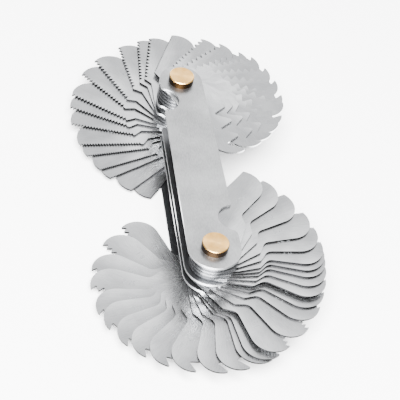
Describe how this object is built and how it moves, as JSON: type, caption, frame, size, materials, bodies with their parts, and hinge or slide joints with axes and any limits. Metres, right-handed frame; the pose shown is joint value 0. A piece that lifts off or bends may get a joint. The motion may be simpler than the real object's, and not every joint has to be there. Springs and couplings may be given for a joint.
{
  "type": "screw pitch gauge",
  "caption": "Two fans of thin toothed steel leaves that swing on two headed brass pins through a flat case of four steel plates with finger notches.",
  "frame": {"origin": "on the rear cover's outer face, midway between the two pins", "axes": "+Z from the rear cover to the front cover, +Y along the case from the metric pin to the inch pin, +X to the right seen from the front"},
  "size_m": [0.065, 0.132, 0.023],
  "materials": {
    "cover_steel": "brushed",
    "leaf_steel": "satin ground",
    "pin_brass": "turned, polished"
  },
  "bodies": {
    "case": {"front_cover": "cover_steel", "separators": "cover_steel", "rear_cover": "cover_steel", "pins": "pin_brass"},
    "inch_leaf_01": {"inch_leaf_01": "leaf_steel"},
    "inch_leaf_02": {"inch_leaf_02": "leaf_steel"},
    "inch_leaf_03": {"inch_leaf_03": "leaf_steel"},
    "inch_leaf_04": {"inch_leaf_04": "leaf_steel"},
    "inch_leaf_05": {"inch_leaf_05": "leaf_steel"},
    "inch_leaf_06": {"inch_leaf_06": "leaf_steel"},
    "inch_leaf_07": {"inch_leaf_07": "leaf_steel"},
    "inch_leaf_08": {"inch_leaf_08": "leaf_steel"},
    "inch_leaf_09": {"inch_leaf_09": "leaf_steel"},
    "inch_leaf_10": {"inch_leaf_10": "leaf_steel"},
    "inch_leaf_11": {"inch_leaf_11": "leaf_steel"},
    "inch_leaf_12": {"inch_leaf_12": "leaf_steel"},
    "inch_leaf_13": {"inch_leaf_13": "leaf_steel"},
    "inch_leaf_14": {"inch_leaf_14": "leaf_steel"},
    "inch_leaf_15": {"inch_leaf_15": "leaf_steel"},
    "inch_leaf_16": {"inch_leaf_16": "leaf_steel"},
    "inch_leaf_17": {"inch_leaf_17": "leaf_steel"},
    "inch_leaf_18": {"inch_leaf_18": "leaf_steel"},
    "inch_leaf_19": {"inch_leaf_19": "leaf_steel"},
    "inch_leaf_20": {"inch_leaf_20": "leaf_steel"},
    "inch_leaf_21": {"inch_leaf_21": "leaf_steel"},
    "inch_leaf_22": {"inch_leaf_22": "leaf_steel"},
    "inch_leaf_23": {"inch_leaf_23": "leaf_steel"},
    "inch_leaf_24": {"inch_leaf_24": "leaf_steel"},
    "inch_leaf_25": {"inch_leaf_25": "leaf_steel"},
    "inch_leaf_26": {"inch_leaf_26": "leaf_steel"},
    "inch_leaf_27": {"inch_leaf_27": "leaf_steel"},
    "inch_leaf_28": {"inch_leaf_28": "leaf_steel"},
    "metric_leaf_01": {"metric_leaf_01": "leaf_steel"},
    "metric_leaf_02": {"metric_leaf_02": "leaf_steel"},
    "metric_leaf_03": {"metric_leaf_03": "leaf_steel"},
    "metric_leaf_04": {"metric_leaf_04": "leaf_steel"},
    "metric_leaf_05": {"metric_leaf_05": "leaf_steel"},
    "metric_leaf_06": {"metric_leaf_06": "leaf_steel"},
    "metric_leaf_07": {"metric_leaf_07": "leaf_steel"},
    "metric_leaf_08": {"metric_leaf_08": "leaf_steel"},
    "metric_leaf_09": {"metric_leaf_09": "leaf_steel"},
    "metric_leaf_10": {"metric_leaf_10": "leaf_steel"},
    "metric_leaf_11": {"metric_leaf_11": "leaf_steel"},
    "metric_leaf_12": {"metric_leaf_12": "leaf_steel"},
    "metric_leaf_13": {"metric_leaf_13": "leaf_steel"},
    "metric_leaf_14": {"metric_leaf_14": "leaf_steel"},
    "metric_leaf_15": {"metric_leaf_15": "leaf_steel"},
    "metric_leaf_16": {"metric_leaf_16": "leaf_steel"},
    "metric_leaf_17": {"metric_leaf_17": "leaf_steel"},
    "metric_leaf_18": {"metric_leaf_18": "leaf_steel"},
    "metric_leaf_19": {"metric_leaf_19": "leaf_steel"},
    "metric_leaf_20": {"metric_leaf_20": "leaf_steel"},
    "metric_leaf_21": {"metric_leaf_21": "leaf_steel"},
    "metric_leaf_22": {"metric_leaf_22": "leaf_steel"},
    "metric_leaf_23": {"metric_leaf_23": "leaf_steel"},
    "metric_leaf_24": {"metric_leaf_24": "leaf_steel"},
    "metric_leaf_25": {"metric_leaf_25": "leaf_steel"},
    "metric_leaf_26": {"metric_leaf_26": "leaf_steel"},
    "metric_leaf_27": {"metric_leaf_27": "leaf_steel"},
    "metric_leaf_28": {"metric_leaf_28": "leaf_steel"}
  },
  "joints": [
    {"name": "inch_leaf_01_swing", "type": "hinge", "parent": "case", "child": "inch_leaf_01", "pos_m": [0, 0.03355, 0.01963], "axis": [0, 0, 1], "continuous": true},
    {"name": "inch_leaf_02_swing", "type": "hinge", "parent": "case", "child": "inch_leaf_02", "pos_m": [0, 0.03355, 0.01901], "axis": [0, 0, 1], "continuous": true},
    {"name": "inch_leaf_03_swing", "type": "hinge", "parent": "case", "child": "inch_leaf_03", "pos_m": [0, 0.03355, 0.01838], "axis": [0, 0, 1], "continuous": true},
    {"name": "inch_leaf_04_swing", "type": "hinge", "parent": "case", "child": "inch_leaf_04", "pos_m": [0, 0.03355, 0.01776], "axis": [0, 0, 1], "continuous": true},
    {"name": "inch_leaf_05_swing", "type": "hinge", "parent": "case", "child": "inch_leaf_05", "pos_m": [0, 0.03355, 0.01715], "axis": [0, 0, 1], "continuous": true},
    {"name": "inch_leaf_06_swing", "type": "hinge", "parent": "case", "child": "inch_leaf_06", "pos_m": [0, 0.03355, 0.01653], "axis": [0, 0, 1], "continuous": true},
    {"name": "inch_leaf_07_swing", "type": "hinge", "parent": "case", "child": "inch_leaf_07", "pos_m": [0, 0.03355, 0.0159], "axis": [0, 0, 1], "continuous": true},
    {"name": "inch_leaf_08_swing", "type": "hinge", "parent": "case", "child": "inch_leaf_08", "pos_m": [0, 0.03355, 0.01528], "axis": [0, 0, 1], "continuous": true},
    {"name": "inch_leaf_09_swing", "type": "hinge", "parent": "case", "child": "inch_leaf_09", "pos_m": [0, 0.03355, 0.01466], "axis": [0, 0, 1], "continuous": true},
    {"name": "inch_leaf_10_swing", "type": "hinge", "parent": "case", "child": "inch_leaf_10", "pos_m": [0, 0.03355, 0.01405], "axis": [0, 0, 1], "continuous": true},
    {"name": "inch_leaf_11_swing", "type": "hinge", "parent": "case", "child": "inch_leaf_11", "pos_m": [0, 0.03355, 0.01256], "axis": [0, 0, 1], "continuous": true},
    {"name": "inch_leaf_12_swing", "type": "hinge", "parent": "case", "child": "inch_leaf_12", "pos_m": [0, 0.03355, 0.01193], "axis": [0, 0, 1], "continuous": true},
    {"name": "inch_leaf_13_swing", "type": "hinge", "parent": "case", "child": "inch_leaf_13", "pos_m": [0, 0.03355, 0.01132], "axis": [0, 0, 1], "continuous": true},
    {"name": "inch_leaf_14_swing", "type": "hinge", "parent": "case", "child": "inch_leaf_14", "pos_m": [0, 0.03355, 0.01069], "axis": [0, 0, 1], "continuous": true},
    {"name": "inch_leaf_15_swing", "type": "hinge", "parent": "case", "child": "inch_leaf_15", "pos_m": [0, 0.03355, 0.0092], "axis": [0, 0, 1], "continuous": true},
    {"name": "inch_leaf_16_swing", "type": "hinge", "parent": "case", "child": "inch_leaf_16", "pos_m": [0, 0.03355, 0.00859], "axis": [0, 0, 1], "continuous": true},
    {"name": "inch_leaf_17_swing", "type": "hinge", "parent": "case", "child": "inch_leaf_17", "pos_m": [0, 0.03355, 0.00796], "axis": [0, 0, 1], "continuous": true},
    {"name": "inch_leaf_18_swing", "type": "hinge", "parent": "case", "child": "inch_leaf_18", "pos_m": [0, 0.03355, 0.00734], "axis": [0, 0, 1], "continuous": true},
    {"name": "inch_leaf_19_swing", "type": "hinge", "parent": "case", "child": "inch_leaf_19", "pos_m": [0, 0.03355, 0.00673], "axis": [0, 0, 1], "continuous": true},
    {"name": "inch_leaf_20_swing", "type": "hinge", "parent": "case", "child": "inch_leaf_20", "pos_m": [0, 0.03355, 0.00611], "axis": [0, 0, 1], "continuous": true},
    {"name": "inch_leaf_21_swing", "type": "hinge", "parent": "case", "child": "inch_leaf_21", "pos_m": [0, 0.03355, 0.00549], "axis": [0, 0, 1], "continuous": true},
    {"name": "inch_leaf_22_swing", "type": "hinge", "parent": "case", "child": "inch_leaf_22", "pos_m": [0, 0.03355, 0.00487], "axis": [0, 0, 1], "continuous": true},
    {"name": "inch_leaf_23_swing", "type": "hinge", "parent": "case", "child": "inch_leaf_23", "pos_m": [0, 0.03355, 0.00424], "axis": [0, 0, 1], "continuous": true},
    {"name": "inch_leaf_24_swing", "type": "hinge", "parent": "case", "child": "inch_leaf_24", "pos_m": [0, 0.03355, 0.00363], "axis": [0, 0, 1], "continuous": true},
    {"name": "inch_leaf_25_swing", "type": "hinge", "parent": "case", "child": "inch_leaf_25", "pos_m": [0, 0.03355, 0.003], "axis": [0, 0, 1], "continuous": true},
    {"name": "inch_leaf_26_swing", "type": "hinge", "parent": "case", "child": "inch_leaf_26", "pos_m": [0, 0.03355, 0.00238], "axis": [0, 0, 1], "continuous": true},
    {"name": "inch_leaf_27_swing", "type": "hinge", "parent": "case", "child": "inch_leaf_27", "pos_m": [0, 0.03355, 0.00177], "axis": [0, 0, 1], "continuous": true},
    {"name": "inch_leaf_28_swing", "type": "hinge", "parent": "case", "child": "inch_leaf_28", "pos_m": [0, 0.03355, 0.00114], "axis": [0, 0, 1], "continuous": true},
    {"name": "metric_leaf_01_swing", "type": "hinge", "parent": "case", "child": "metric_leaf_01", "pos_m": [0, -0.03355, 0.01963], "axis": [0, 0, 1], "continuous": true},
    {"name": "metric_leaf_02_swing", "type": "hinge", "parent": "case", "child": "metric_leaf_02", "pos_m": [0, -0.03355, 0.01901], "axis": [0, 0, 1], "continuous": true},
    {"name": "metric_leaf_03_swing", "type": "hinge", "parent": "case", "child": "metric_leaf_03", "pos_m": [0, -0.03355, 0.01838], "axis": [0, 0, 1], "continuous": true},
    {"name": "metric_leaf_04_swing", "type": "hinge", "parent": "case", "child": "metric_leaf_04", "pos_m": [0, -0.03355, 0.01776], "axis": [0, 0, 1], "continuous": true},
    {"name": "metric_leaf_05_swing", "type": "hinge", "parent": "case", "child": "metric_leaf_05", "pos_m": [0, -0.03355, 0.01715], "axis": [0, 0, 1], "continuous": true},
    {"name": "metric_leaf_06_swing", "type": "hinge", "parent": "case", "child": "metric_leaf_06", "pos_m": [0, -0.03355, 0.01653], "axis": [0, 0, 1], "continuous": true},
    {"name": "metric_leaf_07_swing", "type": "hinge", "parent": "case", "child": "metric_leaf_07", "pos_m": [0, -0.03355, 0.0159], "axis": [0, 0, 1], "continuous": true},
    {"name": "metric_leaf_08_swing", "type": "hinge", "parent": "case", "child": "metric_leaf_08", "pos_m": [0, -0.03355, 0.01528], "axis": [0, 0, 1], "continuous": true},
    {"name": "metric_leaf_09_swing", "type": "hinge", "parent": "case", "child": "metric_leaf_09", "pos_m": [0, -0.03355, 0.01466], "axis": [0, 0, 1], "continuous": true},
    {"name": "metric_leaf_10_swing", "type": "hinge", "parent": "case", "child": "metric_leaf_10", "pos_m": [0, -0.03355, 0.01405], "axis": [0, 0, 1], "continuous": true},
    {"name": "metric_leaf_11_swing", "type": "hinge", "parent": "case", "child": "metric_leaf_11", "pos_m": [0, -0.03355, 0.01256], "axis": [0, 0, 1], "continuous": true},
    {"name": "metric_leaf_12_swing", "type": "hinge", "parent": "case", "child": "metric_leaf_12", "pos_m": [0, -0.03355, 0.01193], "axis": [0, 0, 1], "continuous": true},
    {"name": "metric_leaf_13_swing", "type": "hinge", "parent": "case", "child": "metric_leaf_13", "pos_m": [0, -0.03355, 0.01132], "axis": [0, 0, 1], "continuous": true},
    {"name": "metric_leaf_14_swing", "type": "hinge", "parent": "case", "child": "metric_leaf_14", "pos_m": [0, -0.03355, 0.01069], "axis": [0, 0, 1], "continuous": true},
    {"name": "metric_leaf_15_swing", "type": "hinge", "parent": "case", "child": "metric_leaf_15", "pos_m": [0, -0.03355, 0.0092], "axis": [0, 0, 1], "continuous": true},
    {"name": "metric_leaf_16_swing", "type": "hinge", "parent": "case", "child": "metric_leaf_16", "pos_m": [0, -0.03355, 0.00859], "axis": [0, 0, 1], "continuous": true},
    {"name": "metric_leaf_17_swing", "type": "hinge", "parent": "case", "child": "metric_leaf_17", "pos_m": [0, -0.03355, 0.00796], "axis": [0, 0, 1], "continuous": true},
    {"name": "metric_leaf_18_swing", "type": "hinge", "parent": "case", "child": "metric_leaf_18", "pos_m": [0, -0.03355, 0.00734], "axis": [0, 0, 1], "continuous": true},
    {"name": "metric_leaf_19_swing", "type": "hinge", "parent": "case", "child": "metric_leaf_19", "pos_m": [0, -0.03355, 0.00673], "axis": [0, 0, 1], "continuous": true},
    {"name": "metric_leaf_20_swing", "type": "hinge", "parent": "case", "child": "metric_leaf_20", "pos_m": [0, -0.03355, 0.00611], "axis": [0, 0, 1], "continuous": true},
    {"name": "metric_leaf_21_swing", "type": "hinge", "parent": "case", "child": "metric_leaf_21", "pos_m": [0, -0.03355, 0.00549], "axis": [0, 0, 1], "continuous": true},
    {"name": "metric_leaf_22_swing", "type": "hinge", "parent": "case", "child": "metric_leaf_22", "pos_m": [0, -0.03355, 0.00487], "axis": [0, 0, 1], "continuous": true},
    {"name": "metric_leaf_23_swing", "type": "hinge", "parent": "case", "child": "metric_leaf_23", "pos_m": [0, -0.03355, 0.00424], "axis": [0, 0, 1], "continuous": true},
    {"name": "metric_leaf_24_swing", "type": "hinge", "parent": "case", "child": "metric_leaf_24", "pos_m": [0, -0.03355, 0.00363], "axis": [0, 0, 1], "continuous": true},
    {"name": "metric_leaf_25_swing", "type": "hinge", "parent": "case", "child": "metric_leaf_25", "pos_m": [0, -0.03355, 0.003], "axis": [0, 0, 1], "continuous": true},
    {"name": "metric_leaf_26_swing", "type": "hinge", "parent": "case", "child": "metric_leaf_26", "pos_m": [0, -0.03355, 0.00238], "axis": [0, 0, 1], "continuous": true},
    {"name": "metric_leaf_27_swing", "type": "hinge", "parent": "case", "child": "metric_leaf_27", "pos_m": [0, -0.03355, 0.00177], "axis": [0, 0, 1], "continuous": true},
    {"name": "metric_leaf_28_swing", "type": "hinge", "parent": "case", "child": "metric_leaf_28", "pos_m": [0, -0.03355, 0.00114], "axis": [0, 0, 1], "continuous": true}
  ]
}
